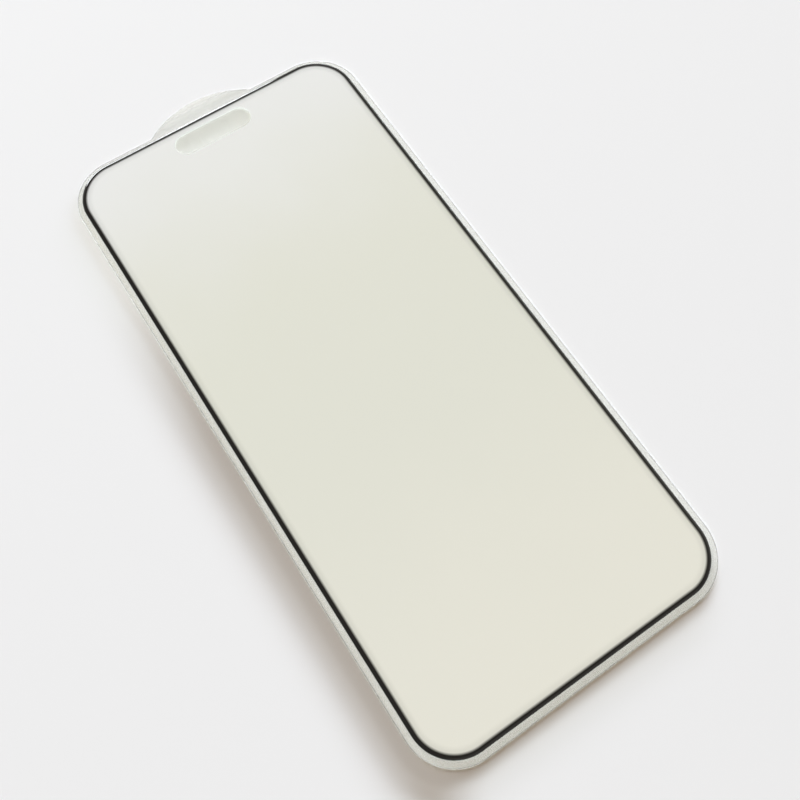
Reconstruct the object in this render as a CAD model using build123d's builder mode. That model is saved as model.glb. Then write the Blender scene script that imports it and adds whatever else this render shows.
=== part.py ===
from build123d import *
from math import radians, sin
import os

os.makedirs("parts", exist_ok=True)

# Phone screen protector as it lies before use: frosted tempered glass with a black printed border,
# a clear adhesive sheet on its back, and the release film that is peeled away by its tab.
# The origin is below the middle of the glass, on the surface that the film lies on.
# The long side runs along Y, with the pull tab at +Y, and the glass faces up. Sizes are in millimetres.

# Glass
glass_width = 75.2
glass_length = 161.1
glass_thickness = 0.40
glass_corner_radius = 10.25

# Edge of the glass: a polished curve that reaches in over the face and steepens outwards, a small round
# that turns it down into a straight ground wall, and a small bevel round the back
edge_run = 0.80
edge_slope = 38
edge_round = 0.06
back_bevel = 0.04

# Pill-shaped cut-out for the phone's front sensors, set in from the head of the glass
window_width = 20.8
window_height = 6.0
window_from_head = 2.5
window_bevel = 0.05

# Black border, printed on the back of the glass just inside its edge
border_width = 0.95
border_inset = 0.10
border_thickness = 0.02

# Adhesive sheet, cut back a little round the cut-out
adhesive_thickness = 0.15
adhesive_window_gap = 0.30

# Release film, which stands out past the glass all round
liner_thickness = 0.20
liner_side_margin = 1.45
liner_head_margin = 0.90
liner_foot_margin = 1.60

# Pull tab at the head of the film
tab_width = 28.5
tab_height = 4.5
tab_root_radius = 1.5

# Heights of the stack, from the surface up
liner_top = liner_thickness
glass_back = liner_top + adhesive_thickness
border_back = glass_back - border_thickness

# Places along the length
glass_head = glass_length / 2
window_middle = glass_head - window_from_head - window_height / 2
liner_head = glass_head + liner_head_margin
liner_foot = -glass_head - liner_foot_margin

# The polished curve leaves the face level, and reaches its full slope where the small round takes over
slope_share = sin(radians(edge_slope))
edge_curve_radius = (edge_run - edge_round * (1 - slope_share)) / slope_share

# The rim of the glass is swept round its outline, and laps over the edge of the flat middle
rim_reach = 3 * edge_run
flat_inset = 2 * edge_run
flat_width = glass_width - 2 * flat_inset
flat_length = glass_length - 2 * flat_inset
flat_corner_radius = glass_corner_radius - flat_inset

# The border and the adhesive share one outline, and the open field lies inside the border
laminate_width = glass_width - 2 * border_inset
laminate_length = glass_length - 2 * border_inset
laminate_corner_radius = glass_corner_radius - border_inset
field_width = laminate_width - 2 * border_width
field_length = laminate_length - 2 * border_width
field_corner_radius = laminate_corner_radius - border_width

# Outline of the release film, without its tab
liner_width = glass_width + 2 * liner_side_margin
liner_length = liner_head - liner_foot
liner_middle = (liner_head + liner_foot) / 2
liner_corner_radius = glass_corner_radius + liner_side_margin

# Glass panel: a flat middle, and a rim whose section is swept once round the outline
with BuildPart() as glass_panel:
    with BuildSketch(Plane.XY.offset(glass_back)):
        RectangleRounded(flat_width, flat_length, flat_corner_radius)
    extrude(amount=glass_thickness)

    with BuildLine(Plane.XY.offset(glass_back)) as outline:
        side = Line((glass_width / 2, 0), (glass_width / 2, glass_head - glass_corner_radius))
        corner = JernArc(side @ 1, side % 1, glass_corner_radius, 90)
        Line(corner @ 1, (0, glass_head))
        mirror(about=Plane.YZ)
        mirror(about=Plane.XZ)

    # The section is drawn inwards from the edge of the glass, with the back of the glass as its foot
    with BuildSketch(Plane(origin=(glass_width / 2, 0, glass_back), x_dir=(-1, 0, 0), z_dir=(0, 1, 0))):
        with BuildLine():
            curve = JernArc((edge_run, glass_thickness), (-1, 0), edge_curve_radius, edge_slope)
            shoulder = JernArc(curve @ 1, curve % 1, edge_round, 90 - edge_slope)
            Polyline(
                shoulder @ 1,
                (0, back_bevel),
                (back_bevel, 0),
                (rim_reach, 0),
                (rim_reach, glass_thickness),
                curve @ 0,
            )
        make_face()
    sweep(path=outline.wire())

    with BuildSketch(Plane.XY.offset(glass_back)):
        with Locations((0, window_middle)):
            SlotOverall(window_width, window_height)
    extrude(amount=glass_thickness, mode=Mode.SUBTRACT)
    back_face, *_, front_face = glass_panel.faces().sort_by(Axis.Z)
    window_rims = back_face.inner_wires().edges() + front_face.inner_wires().edges()
    chamfer(window_rims, window_bevel)

glass_panel.part.label = "glass_panel"
export_step(glass_panel.part, "parts/glass_panel.step")

# Border: a narrow black ring on the back of the glass
with BuildPart() as border_print:
    with BuildSketch(Plane.XY.offset(border_back)):
        RectangleRounded(laminate_width, laminate_length, laminate_corner_radius)
        RectangleRounded(field_width, field_length, field_corner_radius, mode=Mode.SUBTRACT)
    extrude(amount=border_thickness)

border_print.part.label = "border_print"
export_step(border_print.part, "parts/border_print.step")

# Adhesive: it passes under the border, and inside the border it fills up to the glass
with BuildPart() as adhesive_layer:
    with BuildSketch(Plane.XY.offset(liner_top)):
        RectangleRounded(laminate_width, laminate_length, laminate_corner_radius)
    extrude(amount=adhesive_thickness - border_thickness)

    with BuildSketch(Plane.XY.offset(border_back)):
        RectangleRounded(field_width, field_length, field_corner_radius)
    extrude(amount=border_thickness)

    with BuildSketch(Plane.XY.offset(liner_top)):
        with Locations((0, window_middle)):
            SlotOverall(window_width + 2 * adhesive_window_gap, window_height + 2 * adhesive_window_gap)
    extrude(amount=adhesive_thickness, mode=Mode.SUBTRACT)

adhesive_layer.part.label = "adhesive_layer"
export_step(adhesive_layer.part, "parts/adhesive_layer.step")

# Release film: one sheet, with a shallow round tab at its head
with BuildPart() as release_liner:
    with BuildSketch() as liner_outline:
        with Locations((0, liner_middle)):
            RectangleRounded(liner_width, liner_length, liner_corner_radius)
        with BuildLine():
            crown = ThreePointArc(
                (-tab_width / 2, liner_head),
                (0, liner_head + tab_height),
                (tab_width / 2, liner_head),
            )
            Line(crown @ 1, crown @ 0)
        make_face()
        # Along the head of the film, the two inner points are where the tab leaves it
        head_points = liner_outline.vertices().group_by(Axis.Y)[-1].sort_by(Axis.X)
        fillet(head_points[1:3], tab_root_radius)
    extrude(amount=liner_thickness)

release_liner.part.label = "release_liner"
export_step(release_liner.part, "parts/release_liner.step")
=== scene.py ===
# %% [markdown]
# # A phone screen protector on a white table
#
# The object is a thin laminate: a sheet of frosted glass with a black border printed on its back, a clear
# adhesive under it, and a clear release film that stands out all round and ends in a pull tab. Its solids
# come from the packed part and are the fixed frame of this scene. Here they get the surfaces that a solid
# can't carry: a polished edge, frost, ink and film, and the light that shows them.

# %% Load the fixed frame
import math

import bmesh
import bpy
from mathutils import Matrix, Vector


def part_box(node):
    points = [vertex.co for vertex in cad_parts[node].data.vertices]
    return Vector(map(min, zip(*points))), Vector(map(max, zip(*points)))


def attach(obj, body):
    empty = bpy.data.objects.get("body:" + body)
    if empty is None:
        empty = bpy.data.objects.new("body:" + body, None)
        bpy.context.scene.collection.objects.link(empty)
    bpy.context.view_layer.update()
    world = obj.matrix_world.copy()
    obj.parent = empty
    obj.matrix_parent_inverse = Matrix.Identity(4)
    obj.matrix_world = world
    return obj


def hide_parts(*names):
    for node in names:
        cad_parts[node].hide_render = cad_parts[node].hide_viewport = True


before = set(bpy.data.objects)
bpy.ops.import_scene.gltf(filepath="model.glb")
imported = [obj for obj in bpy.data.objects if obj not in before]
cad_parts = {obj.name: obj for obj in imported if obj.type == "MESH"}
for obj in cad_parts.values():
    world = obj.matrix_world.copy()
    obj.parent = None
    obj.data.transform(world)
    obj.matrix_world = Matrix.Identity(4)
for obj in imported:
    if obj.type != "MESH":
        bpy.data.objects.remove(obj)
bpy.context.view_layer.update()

print("solids:", sorted(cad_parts))

# %% [markdown]
# ## Sizes
#
# A box of each solid gives the outer sizes and the heights of the stack, so those aren't typed again. What
# a box can't tell, such as a corner's radius, is repeated from the part in millimetres. Blender works in
# metres here, so each length is multiplied by one named unit.

# %% Sizes of the laminate
MM = 0.001

glass_low, glass_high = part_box("glass_panel")
print_low, print_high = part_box("border_print")
film_low, film_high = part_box("release_liner")

glass_corner = 10.25 * MM
edge_run = 0.80 * MM
edge_slope = math.radians(38)
edge_round = 0.06 * MM
back_bevel = 0.04 * MM

cutout_width = 20.8 * MM
cutout_height = 6.0 * MM
cutout_bevel = 0.05 * MM
cutout_from_head = 2.5 * MM
cutout_middle = glass_high.y - cutout_from_head - cutout_height / 2

border_width = 0.95 * MM
border_corner = glass_corner - (glass_high.x - print_high.x)

film_corner = glass_corner + film_high.x - glass_high.x
head_margin = 0.90 * MM
film_head = glass_high.y + head_margin
tab_width = 28.5 * MM
tab_root = 1.5 * MM

print(f"glass {2 * glass_high.x / MM:.1f} x {2 * glass_high.y / MM:.1f} mm")
print(f"top of the stack {glass_high.z / MM:.2f} mm")

# %% [markdown]
# ## Outlines
#
# Every layer is cut to an outline of straight runs and round corners. Each outline is a list of arcs, and
# the straight runs are simply the gaps between them. An outline can be drawn some way inside the real edge,
# because the flat face of a sheet ends where its rounded edge begins. A hole runs the other way round, so
# that the outside of the sheet is always on the right hand of the path.

# %% Arcs and outlines
CORNER_STEPS = 40


def arc(centre, radius, start, end, steps=CORNER_STEPS):
    """Points on an arc between two bearings in degrees."""
    bearings = [math.radians(start + (end - start) * step / steps) for step in range(steps + 1)]
    return [(centre[0] + radius * math.cos(b), centre[1] + radius * math.sin(b)) for b in bearings]


def rounded_outline(half_width, foot, head, radius):
    """An upright rectangle with round corners, anticlockwise from its right side."""
    left, right = radius - half_width, half_width - radius
    low, high = foot + radius, head - radius
    corners = [(right, high), (left, high), (left, low), (right, low)]
    return [p for quarter, c in enumerate(corners) for p in arc(c, radius, 90 * quarter, 90 * quarter + 90)]


def pill_outline(width, height, middle):
    """A slot with round ends, anticlockwise."""
    reach = (width - height) / 2
    return arc((reach, middle), height / 2, -90, 90) + arc((-reach, middle), height / 2, 90, 270)


def film_outline(inset):
    """The release film with its tab: a shallow crown that runs into the head through two hollow roots."""
    height = film_high.y - film_head
    crown = (tab_width**2 / 4 + height**2) / (2 * height)
    crown_middle = film_high.y - crown
    root_middle = film_head + tab_root
    root_side = math.sqrt((crown + tab_root) ** 2 - (root_middle - crown_middle) ** 2)
    lean = math.degrees(math.atan2(root_middle - crown_middle, root_side))
    tab = arc((root_side, root_middle), tab_root + inset, 270, 180 + lean)
    tab += arc((0, crown_middle), crown - inset, lean, 180 - lean)
    tab += arc((-root_side, root_middle), tab_root + inset, 360 - lean, 270)
    sheet = rounded_outline(film_high.x - inset, film_low.y + inset, film_head - inset, film_corner - inset)
    first_corner = CORNER_STEPS + 1
    return sheet[:first_corner] + tab + sheet[first_corner:]


print("points round the film:", len(film_outline(0)))

# %% [markdown]
# ## A small language for nodes
#
# Node trees read best as arithmetic. One class wraps a node's output, so that `1 - mask` or `run / 2` adds
# the Math node it needs. All other nodes come from one method, which takes the node's type, its settings,
# and then the values or links of its sockets. The same two classes serve materials and Geometry Nodes.

# %% Wires and trees
class Wire:
    """The output of a node, with arithmetic."""

    def __init__(self, tree, socket):
        self.tree = tree
        self.socket = socket

    def math(self, operation, *numbers):
        return self.tree.add("ShaderNodeMath", {"operation": operation}, dict(enumerate(numbers)))

    def __add__(self, other):
        return self.math("ADD", self, other)

    def __sub__(self, other):
        return self.math("SUBTRACT", self, other)

    def __rsub__(self, other):
        return self.math("SUBTRACT", other, self)

    def __mul__(self, other):
        return self.math("MULTIPLY", self, other)

    def __truediv__(self, other):
        return self.math("DIVIDE", self, other)

    def __pow__(self, other):
        return self.math("POWER", self, other)

    __radd__ = __add__
    __rmul__ = __mul__

    def sine(self):
        return self.math("SINE", self)

    def cosine(self):
        return self.math("COSINE", self)

    def at_least(self, other):
        return self.math("MAXIMUM", self, other)

    def at_most(self, other):
        return self.math("MINIMUM", self, other)


class Tree:
    """A node tree that grows by one method."""

    def __init__(self, nodes):
        self.nodes = nodes

    def add(self, kind, settings=None, sockets=None, out=0):
        node = self.nodes.nodes.new(kind)
        for name, value in (settings or {}).items():
            setattr(node, name, value)
        for name, value in (sockets or {}).items():
            for each in value if isinstance(value, list) else [value]:
                if isinstance(each, Wire):
                    self.nodes.links.new(each.socket, node.inputs[name])
                else:
                    node.inputs[name].default_value = each
        return Wire(self, node.outputs[out]) if node.outputs else None


print("node language:", Wire.__doc__, Tree.__doc__)

# %% [markdown]
# ## Helpers for finishes
#
# Object coordinates in millimetres are the base of every pattern, so each one keeps its real scale. A
# polished surface mirrors about four parts in a hundred when seen head on and everything at a glancing
# angle. Layer Weight's Facing gives that angle from both sides of a thin sheet, so the rule is written out
# with it. Glass and film let the light of lamps through, but a renderer would stop it at their gloss. So a
# ray that only asks whether a lamp is in sight passes, and is tinted on its way.

# %% Patterns and gloss
HEAD_ON_MIRROR = 0.04
GLANCING_RISE = 5


def new_finish(name):
    """An empty material, its tree, and the place on the object in millimetres."""
    material = bpy.data.materials.new(name)
    material.use_nodes = True
    material.node_tree.nodes.clear()
    tree = Tree(material.node_tree)
    place = tree.add("ShaderNodeTexCoord", out="Object")
    place = tree.add("ShaderNodeVectorMath", {"operation": "SCALE"}, {0: place, "Scale": 1 / MM})
    return material, tree, place


def noise(tree, place, per_mm, detail=2.0):
    """Cloudy noise from 0 to 1, with about this many lumps to a millimetre."""
    return tree.add("ShaderNodeTexNoise", None, {"Vector": place, "Scale": per_mm, "Detail": detail})


def varied(mask, least, most):
    """A value that runs from least to most as a mask runs from 0 to 1."""
    return least + (most - least) * mask


def split_axes(tree, vector, axes):
    """The parts of a vector along some of its axes."""
    return [tree.add("ShaderNodeSeparateXYZ", None, {0: vector}, out=axis) for axis in axes]


def smooth_step(tree, value, start, end):
    """0 up to start, 1 from end on, and a smooth rise between them."""
    sockets = {"Value": value, "From Min": start, "From Max": end}
    return tree.add("ShaderNodeMapRange", {"interpolation_type": "SMOOTHSTEP"}, sockets)


def mix_colours(tree, share, first, second):
    """Blends two colours."""
    return tree.add("ShaderNodeMix", {"data_type": "RGBA"}, {0: share, 6: first, 7: second}, out=2)


def mix_shaders(tree, share, first, second):
    """Blends two shaders."""
    return tree.add("ShaderNodeMixShader", None, {0: share, 1: first, 2: second})


def mirror_share(tree, faces=1):
    """The share of light that this many polished faces of a clear sheet mirror."""
    head_on = faces * HEAD_ON_MIRROR
    facing = tree.add("ShaderNodeLayerWeight", None, {"Blend": 0.5}, out="Facing")
    return head_on + (1 - head_on) * facing**GLANCING_RISE


def pass_lamps(tree, shader, passage):
    """Lets the light of lamps shine through a sheet, by a see-through shader that tints it."""
    lamp_ray = tree.add("ShaderNodeLightPath", out="Is Shadow Ray")
    return mix_shaders(tree, lamp_ray, shader, passage)


def see_through(tree, tint):
    """A clear shader that tints what is behind it."""
    return tree.add("ShaderNodeBsdfTransparent", None, {"Color": tint})


print("mirror share at 60 degrees:", round(HEAD_ON_MIRROR + (1 - HEAD_ON_MIRROR) * 0.5**GLANCING_RISE, 3))

# %% [markdown]
# ## Frosted face
#
# The face of the glass is etched to a fine matt. It hides what lies below it but for the black border,
# which shows through with a soft inner edge, because the frost spreads what is behind it. Real refraction
# through rough glass would need a great many samples for the same picture. Here the face is a solid cream
# surface without gloss, and the border's soft edge is a mask on the distance from the clear field's
# outline. A faint grey band inside that edge is partly the print spread by the frost and partly a painted
# shadow of the border. The cream isn't one even tone: it is palest at the head, where a painted sheen takes
# the place of the window's reflection that a face without gloss can't show, greener in the middle and
# warmer at the foot, so three creams run into each other along the sheet, with clouds in their borders.

# %% Frosted glass
# The head cream is paler by a painted sheen, in place of the window's reflection on a face without gloss.
HEAD_CREAM_AND_SHEEN = (0.820, 0.824, 0.798, 1)
MIDDLE_CREAM = (0.758, 0.759, 0.661, 1)
FOOT_CREAM = (0.809, 0.794, 0.694, 1)
SEEN_INK = (0.012, 0.011, 0.009, 1)
FROST_TINT = (0.955, 0.95, 0.93, 1)
WHITE = (1, 1, 1, 1)
GRAIN_WHITE = 0.06
INK_EDGE = (-0.57, 0.25)
# A grey band inside the border: partly the print spread by the frost, partly a painted shadow of the border.
INK_BLUR_AND_SHADE = 0.14
INK_BLUR_AND_SHADE_EDGE = (-1.8, -0.2)
CLOUD_DRIFT = 30
HEAD_BLEND = (20, 85)
FOOT_BLEND = (-85, 0)
CLOUDS_PER_MM = 0.03
GRAIN_PER_MM = 6.0
FINE_DETAIL = 3.0
FROST_ROUGHNESS = (0.60, 0.80)
ETCHING = {"Strength": 0.12, "Distance": 0.02 * MM}

field_half_width = (print_high.x - border_width) / MM
field_half_length = (print_high.y - border_width) / MM
field_corner = (border_corner - border_width) / MM


def field_distance(tree, place):
    """Millimetres outwards from the outline of the clear field, and below zero inside it."""
    sides = tree.add("ShaderNodeVectorMath", {"operation": "ABSOLUTE"}, {0: place})
    across, along = split_axes(tree, sides, "XY")
    across = across - (field_half_width - field_corner)
    along = along - (field_half_length - field_corner)
    corner = (across.at_least(0) ** 2 + along.at_least(0) ** 2) ** 0.5
    side = across.at_least(along).at_most(0)
    return corner + side - field_corner


frosted_face, tree, place = new_finish("frosted_face")
outwards = field_distance(tree, place)
ink_seen = smooth_step(tree, outwards, *INK_EDGE)
# Partly the print spread by the frost and partly a painted shadow of the border.
ink_blur_and_shade = INK_BLUR_AND_SHADE * smooth_step(tree, outwards, *INK_BLUR_AND_SHADE_EDGE)
clouds = noise(tree, place, CLOUDS_PER_MM)
grain = noise(tree, place, GRAIN_PER_MM, FINE_DETAIL)
along = split_axes(tree, place, "Y")[0]
drifted = along + CLOUD_DRIFT * (clouds - 0.5)
# Towards the head the cream carries the painted sheen of the window.
cream = mix_colours(tree, smooth_step(tree, drifted, *HEAD_BLEND), MIDDLE_CREAM, HEAD_CREAM_AND_SHEEN)
cream = mix_colours(tree, 1 - smooth_step(tree, drifted, *FOOT_BLEND), cream, FOOT_CREAM)
cream = mix_colours(tree, GRAIN_WHITE * grain, cream, WHITE)
colour = mix_colours(tree, ink_seen.at_least(ink_blur_and_shade), cream, SEEN_INK)
etching = tree.add("ShaderNodeBump", None, {**ETCHING, "Height": grain})
roughness = varied(grain, *FROST_ROUGHNESS)
sockets = {"Base Color": colour, "Roughness": roughness, "Specular IOR Level": 0.0, "Normal": etching}
frost = tree.add("ShaderNodeBsdfPrincipled", None, sockets)
shader = pass_lamps(tree, frost, see_through(tree, FROST_TINT))
tree.add("ShaderNodeOutputMaterial", None, {"Surface": shader})
print("frosted face:", len(frosted_face.node_tree.nodes), "nodes")

# %% [markdown]
# ## Polished edge
#
# The rim of the glass is ground round and polished, so it mirrors the window. It also works as a lens: it
# bends the view down onto the ink below, so the rim looks black nearly out to its edge. A glass shader
# would need many samples for that and would darken the table. The ink is drawn on the rim instead, under a
# clear mirroring gloss, and outside the ink the rim is see-through. The same lens throws low light away
# from the table beside it. So the rim stops the light of lamps along the left side from the middle down,
# and a little at the foot, which gives the sheet its soft shade.

# %% Polished glass
EDGE_TINT = (0.95, 0.975, 0.96, 1)
EDGE_SHADE = (0.05, 0.03, 0.01, 1)
INK_END = (0.07, 0.095)
RIM_FACES = 1.3
GRINDING_PER_MM = 3.0
RIM_ROUGHNESS = (0.05, 0.07)
SHADE_FULL = 0.0
SHADE_NONE = 58.0
LEFT_SIDE = (-34.0, -24.0)
FOOT_END = (-77.0, -72.0)
FOOT_SHARE = 0.2


def shaded_end(tree, along):
    """0 at the head and 1 from the middle to the foot, where the sheet's shade is deepest."""
    return 1 - smooth_step(tree, along, SHADE_FULL, SHADE_NONE)


polished_edge, tree, place = new_finish("polished_edge")
outwards = field_distance(tree, place)
ink_below = 1 - smooth_step(tree, outwards, *(border_width / MM + past for past in INK_END))
grinding = noise(tree, place, GRINDING_PER_MM)
clear = see_through(tree, EDGE_TINT)
ink = tree.add("ShaderNodeBsdfDiffuse", None, {"Color": SEEN_INK})
body = mix_shaders(tree, ink_below, clear, ink)
roughness = varied(grinding, *RIM_ROUGHNESS)
gloss = tree.add("ShaderNodeBsdfGlossy", None, {"Color": WHITE, "Roughness": roughness})
look = mix_shaders(tree, mirror_share(tree, RIM_FACES), body, gloss)
across, along = split_axes(tree, place, "XY")
on_left = 1 - smooth_step(tree, across, *LEFT_SIDE)
on_foot = 1 - smooth_step(tree, along, *FOOT_END)
shade = shaded_end(tree, along) * on_left.at_least(FOOT_SHARE * on_foot)
shader = pass_lamps(tree, look, mix_shaders(tree, shade, clear, see_through(tree, EDGE_SHADE)))
tree.add("ShaderNodeOutputMaterial", None, {"Surface": shader})
print("polished edge:", len(polished_edge.node_tree.nodes), "nodes")

# %% [markdown]
# ## Ground wall
#
# The wall of the cut-out is ground but not polished. It is a fraction of a millimetre high, so it shows
# only as a fine line, and mostly as what lies behind it. A low alpha gives that, and grit roughens the
# wall.

# %% Ground glass
WALL_DARK = (0.50, 0.50, 0.47, 1)
WALL_PALE = (0.62, 0.62, 0.59, 1)
GRIT_PER_MM = 10.0
WALL_ROUGHNESS = (0.45, 0.65)
WALL_ALPHA = (0.06, 0.18)
SCRATCHES = {"Strength": 0.2, "Distance": 0.01 * MM}

ground_wall, tree, place = new_finish("ground_wall")
grit = noise(tree, place, GRIT_PER_MM, FINE_DETAIL)
colour = mix_colours(tree, grit, WALL_DARK, WALL_PALE)
scratches = tree.add("ShaderNodeBump", None, {**SCRATCHES, "Height": grit})
sockets = {
    "Base Color": colour,
    "Roughness": varied(grit, *WALL_ROUGHNESS),
    "Alpha": varied(grit, *WALL_ALPHA),
    "Normal": scratches,
}
surface = tree.add("ShaderNodeBsdfPrincipled", None, sockets)
shader = pass_lamps(tree, surface, see_through(tree, EDGE_TINT))
tree.add("ShaderNodeOutputMaterial", None, {"Surface": shader})
print("ground wall:", len(ground_wall.node_tree.nodes), "nodes")

# %% [markdown]
# ## Black ink
#
# The border is screen printed. The mesh of the screen leaves a faint, even mottle in the ink, which a
# little noise in the tone, the roughness and the bump gives. Glass and film carry light sideways under the
# ink, so it leaves hardly any shade of its own, and lamp light passes it with a slight tint.

# %% Screen-printed ink
INK_TINT = (0.96, 0.95, 0.93, 1)
INK_DARK = (0.008, 0.008, 0.007, 1)
INK_PALE = (0.022, 0.021, 0.018, 1)
MOTTLE_PER_MM = 8.0
INK_ROUGHNESS = (0.45, 0.65)
INK_RELIEF = {"Strength": 0.15, "Distance": 0.01 * MM}

black_ink, tree, place = new_finish("black_ink")
mottle = noise(tree, place, MOTTLE_PER_MM)
colour = mix_colours(tree, mottle, INK_DARK, INK_PALE)
relief = tree.add("ShaderNodeBump", None, {**INK_RELIEF, "Height": mottle})
sockets = {"Base Color": colour, "Roughness": varied(mottle, *INK_ROUGHNESS), "Normal": relief}
print_face = tree.add("ShaderNodeBsdfPrincipled", None, sockets)
shader = pass_lamps(tree, print_face, see_through(tree, INK_TINT))
tree.add("ShaderNodeOutputMaterial", None, {"Surface": shader})
print("black ink:", len(black_ink.node_tree.nodes), "nodes")

# %% [markdown]
# ## Clear film and adhesive
#
# The release film is glossy and a little milky: it veils the table below it, in long streaks from the roll
# that it was cut from. On the tab the veil is thick at the root and thins towards the crown: a painted shade
# that darkens the tab near the glass.
# The cut edge is another matter. The blade leaves a rough lip, which is a fine grey line at the head. On
# the left and at the foot it stops the low light, and what it stops shines through it from inside. The
# adhesive under the glass is clearer, but softer and duller.

# %% Clear sheets
FILM_TINT = (0.985, 0.982, 0.968, 1)
FILM_WHITE = (0.66, 0.655, 0.622, 1)
CUT_GREY = (0.30, 0.30, 0.285, 1)
CUT_SHADE = (0.08, 0.05, 0.02, 1)
SHADE_SIDE = (28.0, film_high.x / MM - 1)
# The tab's veil is a painted shade: thick near the glass and thinning out towards the crown.
TAB_BLEND = (glass_high.y / MM + 0.2, film_head / MM)
TAB_SHADE_FADE = (2.8, 6.5)
TAB_SHADE_CLEARING = 0.85
SPECKS_PER_MM = 5.0
SPECK_ROUGHNESS = 0.05


def clear_sheet(name, lamp_tint, lit_through, white, haze, tab_root_shade, streak, roughness):
    """A clear sheet with a veil of haze, in streaks, and a glossy face."""
    material, tree, place = new_finish(name)
    outwards = field_distance(tree, place)
    across, along = split_axes(tree, place, "XY")
    shade = shaded_end(tree, along) * (1 - smooth_step(tree, across, *SHADE_SIDE))
    on_tab = smooth_step(tree, along, *TAB_BLEND)
    tab_shade_fade = smooth_step(tree, outwards, *TAB_SHADE_FADE)
    stretched = tree.add("ShaderNodeMapping", None, {"Vector": place, "Scale": streak})
    streaks = noise(tree, stretched, 1.0)
    specks = noise(tree, place, SPECKS_PER_MM)
    clear = see_through(tree, FILM_TINT)
    lit = tree.add("ShaderNodeBsdfDiffuse", None, {"Color": white})
    glowing = tree.add("ShaderNodeBsdfTranslucent", None, {"Color": white})
    veil = mix_shaders(tree, lit_through * shade, lit, glowing)
    # On the tab the veil thickens near the glass as a painted shade, and clears towards the crown.
    veiled = varied(streaks, *haze) + tab_root_shade * on_tab
    body = mix_shaders(tree, veiled * (1 - TAB_SHADE_CLEARING * tab_shade_fade), clear, veil)
    gloss_sockets = {"Color": WHITE, "Roughness": roughness + SPECK_ROUGHNESS * specks}
    gloss = tree.add("ShaderNodeBsdfGlossy", None, gloss_sockets)
    look = mix_shaders(tree, mirror_share(tree), body, gloss)
    shader = pass_lamps(tree, look, mix_shaders(tree, shade, clear, see_through(tree, lamp_tint)))
    tree.add("ShaderNodeOutputMaterial", None, {"Surface": shader})
    return material


film_face = clear_sheet(
    "film_face",
    lamp_tint=FILM_TINT,
    lit_through=0,
    white=FILM_WHITE,
    haze=(0.26, 0.32),
    tab_root_shade=0.34,
    streak=(0.3, 0.01, 1),
    roughness=0.05,
)
film_cut = clear_sheet(
    "film_cut",
    lamp_tint=CUT_SHADE,
    lit_through=1,
    white=CUT_GREY,
    haze=(0.45, 0.60),
    tab_root_shade=0,
    streak=(2.0, 2.0, 1),
    roughness=0.30,
)
soft_adhesive = clear_sheet(
    "soft_adhesive",
    lamp_tint=FILM_TINT,
    lit_through=0,
    white=FILM_WHITE,
    haze=(0.03, 0.08),
    tab_root_shade=0,
    streak=(0.1, 0.1, 1),
    roughness=0.25,
)
print("clear sheets:", film_face.name, film_cut.name, soft_adhesive.name)

# %% [markdown]
# ## A sheet with a swept edge
#
# Glass, print and film are all the same kind of thing: a flat face, a flat back and an edge whose section
# runs all the way round. A machinist would grind it in one pass along the outline, and Geometry Nodes do
# the same: Curve to Mesh carries a section along the path, and Fill Curve closes the two flats. The first
# outline is the outside of the sheet, and any other one is a hole with a plain bevel. Profile points count
# outwards and down.

# %% The tree of an edged sheet
SHEET_SIZES = [
    "Front",
    "Back",
    "Edge Run",
    "Edge Slope",
    "Edge Round",
    "Back Bevel",
    "Hole Bevel",
]
SHEET_FINISHES = ("Face Finish", "Edge Finish", "Hole Finish")
CURVE_STEPS = 14
ROUND_STEPS = 7
WELD = 0.0001 * MM

sheet_nodes = bpy.data.node_groups.new("edged_sheet", "GeometryNodeTree")
interface = sheet_nodes.interface
interface.new_socket("Outline", in_out="INPUT", socket_type="NodeSocketGeometry")
sheet_inputs = {
    name: interface.new_socket(name, in_out="INPUT", socket_type="NodeSocketFloat").identifier
    for name in SHEET_SIZES
}
for name in SHEET_FINISHES:
    socket = interface.new_socket(name, in_out="INPUT", socket_type="NodeSocketMaterial")
    sheet_inputs[name] = socket.identifier
interface.new_socket("Sheet", in_out="OUTPUT", socket_type="NodeSocketGeometry")

tree = Tree(sheet_nodes)
given = sheet_nodes.nodes.new("NodeGroupInput")
front, back, run, slope, turn, bevel, hole_bevel = (Wire(tree, given.outputs[name]) for name in SHEET_SIZES)
outline = Wire(tree, given.outputs["Outline"])


def profile_point(out, height):
    """A point of a section, from how far out it lies and how high."""
    return tree.add("ShaderNodeCombineXYZ", None, {"X": out, "Y": 0 - height})


def profile_line(start, end):
    """A straight part of a section."""
    return tree.add("GeometryNodeCurvePrimitiveLine", None, {"Start": start, "End": end})


def sweep(path, parts):
    """The surface that a section leaves along a path."""
    section = tree.add("GeometryNodeJoinGeometry", None, {"Geometry": parts})
    return tree.add("GeometryNodeCurveToMesh", None, {"Curve": path, "Profile Curve": section})


def profile_arc(centre_out, centre_height, radius, bearings, steps):
    """A round part of a section, between bearings that count from straight up."""
    start, end = bearings
    points = [
        profile_point(centre_out + radius * bearing.sine(), centre_height + radius * bearing.cosine())
        for bearing in (start, (start + end) / 2, end)
    ]
    sockets = {"Resolution": steps, "Start": points[0], "Middle": points[1], "End": points[2]}
    return tree.add("GeometryNodeCurveArc", {"mode": "POINTS"}, sockets)


# The polished curve leaves the face without a crease and steepens to its slope,
# where the small round takes over
bend = (run - turn * (1 - slope.sine())) / slope.sine()
turn_out = (bend - turn) * slope.sine()
turn_height = front - bend + (bend - turn) * slope.cosine()
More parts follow.
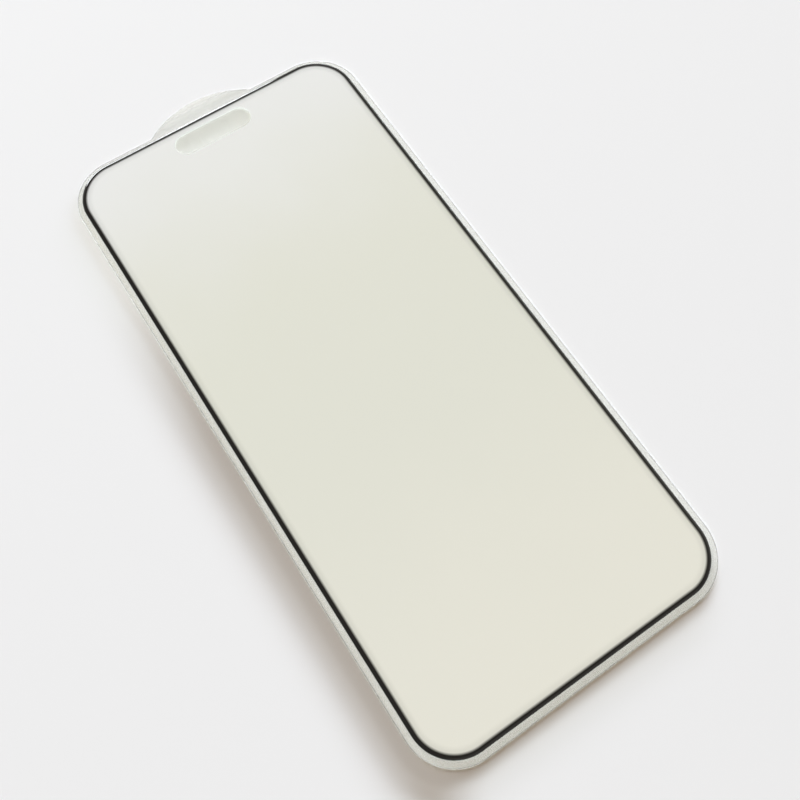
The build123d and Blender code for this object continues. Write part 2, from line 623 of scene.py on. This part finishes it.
# A bearing has to be a wire, because its sine is a node, so these two are worked out from the slope
level = slope * 0
upright_wall = level + math.pi / 2
curve = profile_arc(level, front - bend, bend, (level, slope), CURVE_STEPS)
shoulder = profile_arc(turn_out, turn_height, turn, (slope, upright_wall), ROUND_STEPS)
curve_start = profile_point(0, front)
wall_start = profile_point(run, turn_height)
wall_end = profile_point(run, back + bevel)
bevel_end = profile_point(run - bevel, back)
foot_end = profile_point(0, back)
wall = profile_line(wall_start, wall_end)
corner = profile_line(wall_end, bevel_end)
foot = profile_line(bevel_end, foot_end)

hole_start = profile_point(hole_bevel, front - hole_bevel)
hole_end = profile_point(hole_bevel, back + hole_bevel)
hole_top = profile_line(curve_start, hole_start)
hole_wall = profile_line(hole_start, hole_end)
hole_foot = profile_line(hole_end, foot_end)

number = tree.add("GeometryNodeInputIndex")
is_outside = tree.add("FunctionNodeCompare", {"data_type": "INT", "operation": "EQUAL"}, {2: number, 3: 0})
upright = tree.add("GeometryNodeSetCurveNormal", {"mode": "Z_UP"}, {"Curve": outline})
sockets = {"Geometry": upright, "Selection": is_outside}
outside = tree.add("GeometryNodeSeparateGeometry", {"domain": "CURVE"}, sockets, out="Selection")
holes = tree.add("GeometryNodeSeparateGeometry", {"domain": "CURVE"}, sockets, out="Inverted")
rim = sweep(outside, [curve, shoulder, wall, corner, foot])
hole_rim = sweep(holes, [hole_top, hole_wall, hole_foot])

flat = tree.add("GeometryNodeFillCurve", {"mode": "TRIANGLES"}, {"Curve": outline})
up_to_front = tree.add("ShaderNodeCombineXYZ", None, {"Z": front})
up_to_back = tree.add("ShaderNodeCombineXYZ", None, {"Z": back})
front_face = tree.add("GeometryNodeTransform", None, {"Geometry": flat, "Translation": up_to_front})
back_face = tree.add("GeometryNodeTransform", None, {"Geometry": flat, "Translation": up_to_back})
back_face = tree.add("GeometryNodeFlipFaces", None, {"Mesh": back_face})

# The swept faces are marked, because they are smooth and take finishes of their own, and the flats stay flat
SWEPT_MARKS = ("rim", "hole")


def mark(geometry, name):
    """Marks all faces of a geometry by a named attribute."""
    settings = {"data_type": "BOOLEAN", "domain": "FACE"}
    sockets = {"Geometry": geometry, "Name": name, "Value": True}
    return tree.add("GeometryNodeStoreNamedAttribute", settings, sockets)


parts = [mark(rim, "rim"), mark(hole_rim, "hole"), front_face, back_face]
sheet = tree.add("GeometryNodeJoinGeometry", None, {"Geometry": parts})
sheet = tree.add("GeometryNodeMergeByDistance", None, {"Geometry": sheet, "Distance": WELD})
on_rim, on_hole = (
    tree.add("GeometryNodeInputNamedAttribute", {"data_type": "BOOLEAN"}, {"Name": name})
    for name in SWEPT_MARKS
)
sheet = tree.add("GeometryNodeRealizeInstances", None, {"Geometry": sheet})
for finish, faces in zip(SHEET_FINISHES, (True, on_rim, on_hole)):
    sockets = {"Geometry": sheet, "Selection": faces, "Material": Wire(tree, given.outputs[finish])}
    sheet = tree.add("GeometryNodeSetMaterial", None, sockets)
tree.add("NodeGroupOutput", None, {"Sheet": sheet})
print("edged sheet:", len(sheet_nodes.nodes), "nodes")

# %% [markdown]
# ## From outline to plain mesh
#
# A curve object carries the outlines, the modifier makes the sheet, and the result is copied to a plain
# mesh. The swept faces are smooth, with crisp creases where they turn by more than thirty degrees. The
# flats stay flat, because normals blended over their long triangles would tint them under low light. A
# closed mesh has two faces at every edge and its volume is positive, so both are measured.

# %% Making a sheet
CREASE = math.radians(30)


def make_sheet(name, outlines, sizes):
    """Runs the edged-sheet tree round these outlines and returns a plain mesh object."""
    path = bpy.data.curves.new(name + "_outline", "CURVE")
    path.dimensions = "3D"
    for points in outlines:
        spline = path.splines.new("POLY")
        spline.points.add(len(points) - 1)
        for point, (x, y) in zip(spline.points, points):
            point.co = (x, y, 0, 1)
        spline.use_cyclic_u = True
    carrier = bpy.data.objects.new(name + "_outline", path)
    bpy.context.scene.collection.objects.link(carrier)
    modifier = carrier.modifiers.new("edged_sheet", "NODES")
    modifier.node_group = sheet_nodes
    for size, value in sizes.items():
        modifier[sheet_inputs[size]] = value
    depsgraph = bpy.context.evaluated_depsgraph_get()
    mesh = bpy.data.meshes.new_from_object(carrier.evaluated_get(depsgraph), depsgraph=depsgraph)
    bpy.data.objects.remove(carrier)
    mesh.name = name
    swept = set()
    for made in SWEPT_MARKS:
        if made in mesh.attributes:
            swept.update(number for number, face in enumerate(mesh.attributes[made].data) if face.value)
            mesh.attributes.remove(mesh.attributes[made])
    mesh.set_sharp_from_angle(angle=CREASE)
    for number, face in enumerate(mesh.polygons):
        face.use_smooth = number in swept
    piece = bpy.data.objects.new(name, mesh)
    bpy.context.scene.collection.objects.link(piece)
    measured = bmesh.new()
    measured.from_mesh(mesh)
    open_edges = sum(not edge.is_manifold for edge in measured.edges)
    volume = measured.calc_volume(signed=True) / MM**3
    measured.free()
    print(f"{name}: {len(mesh.polygons)} faces, {open_edges} open edges, {volume:.1f} cubic mm")
    return piece


# %% [markdown]
# ## Glass
#
# The glass has the longest section: a polished curve that reaches well in over the face, a small round, a
# short wall, and a bevel at the back. Near the head it has a pill-shaped cut-out, with a bevel on both of
# its rims.

# %% Frosted glass panel
glass_flat = rounded_outline(
    glass_high.x - edge_run,
    glass_low.y + edge_run,
    glass_high.y - edge_run,
    glass_corner - edge_run,
)
cutout_rim = pill_outline(cutout_width + 2 * cutout_bevel, cutout_height + 2 * cutout_bevel, cutout_middle)
glass = make_sheet(
    "frosted_glass_panel",
    [glass_flat, cutout_rim[::-1]],
    {
        "Front": glass_high.z,
        "Back": glass_low.z,
        "Edge Run": edge_run,
        "Edge Slope": edge_slope,
        "Edge Round": edge_round,
        "Back Bevel": back_bevel,
        "Hole Bevel": cutout_bevel,
        "Face Finish": frosted_face,
        "Edge Finish": polished_edge,
        "Hole Finish": ground_wall,
    },
)

# %% [markdown]
# ## Printed border
#
# The ink is a ring twenty micrometres thick on the back of the glass. It is a sheet too, with the clear
# field as its hole. A film of ink has soft shoulders, so its edges are rounded by a fraction of its
# thickness. Where the run and the round are the same, the section is a plain quarter round, whatever its
# slope. A gap of a micrometre keeps its faces off those of the glass and the adhesive.

# %% Printed border
QUARTER_SLOPE = math.radians(45)
ink_shoulder = 0.006 * MM
ink_gap = 0.001 * MM

border_outside = rounded_outline(
    print_high.x - ink_shoulder,
    print_low.y + ink_shoulder,
    print_high.y - ink_shoulder,
    border_corner - ink_shoulder,
)
field_edge = border_width - ink_shoulder
border_inside = rounded_outline(
    print_high.x - field_edge,
    print_low.y + field_edge,
    print_high.y - field_edge,
    border_corner - field_edge,
)
border = make_sheet(
    "black_border_print",
    [border_outside, border_inside[::-1]],
    {
        "Front": print_high.z - ink_gap,
        "Back": print_low.z + ink_gap,
        "Edge Run": ink_shoulder,
        "Edge Slope": QUARTER_SLOPE,
        "Edge Round": ink_shoulder,
        "Back Bevel": ink_shoulder,
        "Hole Bevel": ink_shoulder,
        "Face Finish": black_ink,
        "Edge Finish": black_ink,
        "Hole Finish": black_ink,
    },
)

# %% [markdown]
# ## Release film
#
# The film is the only sheet that isn't a plain rounded rectangle: a shallow tab stands out at its head, for
# a thumbnail. A blade cut it, so its edges are barely rounded and lean a little, like a lip.

# %% Release film
lip_run = 0.14 * MM
lip_slope = math.radians(10)
lip_round = 0.03 * MM

film = make_sheet(
    "clear_release_film",
    [film_outline(lip_run)],
    {
        "Front": film_high.z,
        "Back": film_low.z,
        "Edge Run": lip_run,
        "Edge Slope": lip_slope,
        "Edge Round": lip_round,
        "Back Bevel": lip_round,
        "Hole Bevel": lip_round,
        "Face Finish": film_face,
        "Edge Finish": film_cut,
        "Hole Finish": film_cut,
    },
)

# %% [markdown]
# ## Riding on the frame
#
# Each new sheet stands for one solid, which is hidden, and rides on the part's one body. The adhesive's
# solid is right as it is, so it stays and only gets its finish.

# %% Pieces and their solids
for piece, node, slot in [
    (glass, "glass_panel", "frosted_glass"),
    (border, "border_print", "black_print"),
    (film, "release_liner", "clear_film"),
]:
    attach(piece, "root")
    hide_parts(node)

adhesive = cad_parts["adhesive_layer"]
adhesive.data.materials.clear()
adhesive.data.materials.append(soft_adhesive)

# %% [markdown]
# ## Table
#
# The protector lies on a plain white table. The table is a hair below the film, because two faces at the
# same height would fight for each pixel. Far out, where nothing lies on it, the table is seen in the plain
# white of the backdrop, so it has no horizon. Near the object it is an ordinary white surface that keeps
# the shade.

# %% Table
TABLE_HALF = 3.0
TABLE_GAP = 0.01 * MM
TABLE_WHITE = (0.88, 0.88, 0.88, 1)
BACKDROP_WHITE = (0.90, 0.90, 0.90, 1)
FAR_TABLE = (160, 420)

table_mesh = bpy.data.meshes.new("table")
corners = [(-1, -1), (1, -1), (1, 1), (-1, 1)]
table_mesh.from_pydata([(TABLE_HALF * x, TABLE_HALF * y, -TABLE_GAP) for x, y in corners], [], [(0, 1, 2, 3)])
table = bpy.data.objects.new("table", table_mesh)
bpy.context.scene.collection.objects.link(table)


def seen_rays(tree):
    """1 for rays that show a background, straight or in gloss or glass, and 0 for rays that gather light."""
    names = ("Is Camera Ray", "Is Glossy Ray", "Is Transmission Ray")
    straight, mirrored, through = (tree.add("ShaderNodeLightPath", out=name) for name in names)
    return straight.at_least(mirrored).at_least(through)


white_table, tree, place = new_finish("white_table")
surface = tree.add("ShaderNodeBsdfDiffuse", None, {"Color": TABLE_WHITE})
backdrop = tree.add("ShaderNodeEmission", None, {"Color": BACKDROP_WHITE, "Strength": 1.0})
away = tree.add("ShaderNodeVectorMath", {"operation": "LENGTH"}, {0: place}, out="Value")
far = smooth_step(tree, away, *FAR_TABLE)
shader = mix_shaders(tree, far * seen_rays(tree), surface, backdrop)
tree.add("ShaderNodeOutputMaterial", None, {"Surface": shader})
table_mesh.materials.append(white_table)
print("table:", 2 * TABLE_HALF, "m square")

# %% [markdown]
# ## Window
#
# A window beyond the head of the glass gives the highlight. It is low, so the polished edge mirrors it as a
# white line along the head and round one corner. A far, large lamp gives the same soft light as a near,
# small one, but lights the whole table evenly.

# %% Window
WINDOW_POWER = 30.0
WINDOW_COLOUR = (0.97, 1.0, 1.03)
WINDOW_AWAY = 1.6
WINDOW_HALF_WIDTH = math.radians(15.65)
WINDOW_HALF_HEIGHT = math.radians(9.5)
WINDOW_BEARING = math.radians(-0.35)
WINDOW_RISE = math.radians(13.5)

window_light = bpy.data.lights.new("window_light", "AREA")
window_light.shape = "RECTANGLE"
window_light.size = 2 * WINDOW_AWAY * math.tan(WINDOW_HALF_WIDTH)
window_light.size_y = 2 * WINDOW_AWAY * math.tan(WINDOW_HALF_HEIGHT)
window_light.energy = WINDOW_POWER
window_light.color = WINDOW_COLOUR
window = bpy.data.objects.new("window_light", window_light)
along_table = WINDOW_AWAY * math.cos(WINDOW_RISE)
window.location = (
    along_table * math.sin(WINDOW_BEARING),
    glass_high.y + along_table * math.cos(WINDOW_BEARING),
    WINDOW_AWAY * math.sin(WINDOW_RISE),
)
window.rotation_euler = (math.pi / 2 - WINDOW_RISE, 0, math.pi - WINDOW_BEARING)
bpy.context.scene.collection.objects.link(window)
print("window at", [round(x, 3) for x in window.location])

# %% [markdown]
# ## Card
#
# A photographer would stand a warm card near the foot, to lift the side that the window leaves dim. It is
# weak here, and only evens out the light along the sheet.

# %% Card near the foot
CARD_POWER = 0.12
CARD_COLOUR = (1.06, 1.0, 0.90)
CARD_WIDTH = 0.50
CARD_HEIGHT = 0.35
CARD_PLACE = (0.0, -0.45, 0.30)
CARD_TILT = math.radians(52)

card_light = bpy.data.lights.new("card_light", "AREA")
card_light.shape = "RECTANGLE"
card_light.size = CARD_WIDTH
card_light.size_y = CARD_HEIGHT
card_light.energy = CARD_POWER
card_light.color = CARD_COLOUR
card = bpy.data.objects.new("card_light", card_light)
card.location = CARD_PLACE
card.rotation_euler = (CARD_TILT, 0, 0)
bpy.context.scene.collection.objects.link(card)
print("card at", CARD_PLACE)

# %% [markdown]
# ## Room
#
# The room gives the rest of the light. It is dim and warm, and paler on the right than on the left. Low on
# the right there is a narrow bright strip, like daylight under a blind. It rakes over the table, so even a
# sheet as thin as this one throws a soft warm shade to its left and foot. Only rays that gather light find
# this room. Rays that are seen, straight or in a gloss, find a plain pale backdrop, with a dim ceiling over
# it that keeps the black border black.

# %% Room
DARK_CEILING = (0.30, 0.28, 0.26, 1)
DIM_FILL = (0.0415, 0.0345, 0.026, 1)
BRIGHT_FILL = (0.761, 0.618, 0.472, 1)
CEILING_FILL = (0.223, 0.181, 0.138, 1)
LOW_LIGHT = (670, 725, 788, 1)
WALL_TOP = 0.30
CEILING_EDGE = 0.60
FILL_BEYOND = 0.5
FILL_TURN = (-0.7, 0.9)
LOW_LIGHT_FOOT = (0.039, 0.053)
LOW_LIGHT_TOP = (0.070, 0.094)
LOW_LIGHT_SIDES = (0.80, 0.95)
LOW_LIGHT_BEARING = math.radians(40)

room = bpy.data.worlds.new("room")
room.use_nodes = True
room.node_tree.nodes.clear()
tree = Tree(room.node_tree)
direction = tree.add("ShaderNodeTexCoord", out="Generated")
rightwards, beyond, upwards = split_axes(tree, direction, "XYZ")
overhead = smooth_step(tree, upwards, WALL_TOP, CEILING_EDGE)
paler = smooth_step(tree, rightwards + FILL_BEYOND * beyond, *FILL_TURN)
fill = mix_colours(tree, paler, DIM_FILL, BRIGHT_FILL)
fill = mix_colours(tree, overhead, fill, CEILING_FILL)
towards = math.cos(LOW_LIGHT_BEARING) * rightwards + math.sin(LOW_LIGHT_BEARING) * beyond
strip = smooth_step(tree, towards, *LOW_LIGHT_SIDES)
strip = strip * smooth_step(tree, upwards, *LOW_LIGHT_FOOT)
strip = strip * (1 - smooth_step(tree, upwards, *LOW_LIGHT_TOP))
fill = mix_colours(tree, strip, fill, LOW_LIGHT)
backdrop = mix_colours(tree, overhead, BACKDROP_WHITE, DARK_CEILING)
colour = mix_colours(tree, seen_rays(tree), fill, backdrop)
shader = tree.add("ShaderNodeBackground", None, {"Color": colour, "Strength": 1.0})
tree.add("ShaderNodeOutputWorld", None, {"Surface": shader})
bpy.context.scene.world = room
bpy.context.scene.view_settings.view_transform = "Standard"
print("room:", room.name)

# %% [markdown]
# ## Camera
#
# The camera looks steeply down from over the left side of the sheet, near its foot, and is turned so that
# the sheet runs aslant across the picture. Its place and its three turns come from fitting the border's
# outline to the photograph.

# %% Camera
PICTURE_SIDE = 800
FOCAL_PIXELS = 836.97
SENSOR = 36.0
CAMERA_PLACE = (-37.63 * MM, -59.97 * MM, 178.75 * MM)
CAMERA_TURN = (19.106, -1.160, -33.645)
NEAREST_SEEN = 0.01

lens = bpy.data.cameras.new("camera")
lens.sensor_width = SENSOR
lens.lens = SENSOR * FOCAL_PIXELS / PICTURE_SIDE
lens.clip_start = NEAREST_SEEN
camera = bpy.data.objects.new("camera", lens)
camera.location = CAMERA_PLACE
camera.rotation_euler = [math.radians(turn) for turn in CAMERA_TURN]
bpy.context.scene.collection.objects.link(camera)
bpy.context.scene.camera = camera
print(f"lens {lens.lens:.2f} mm")
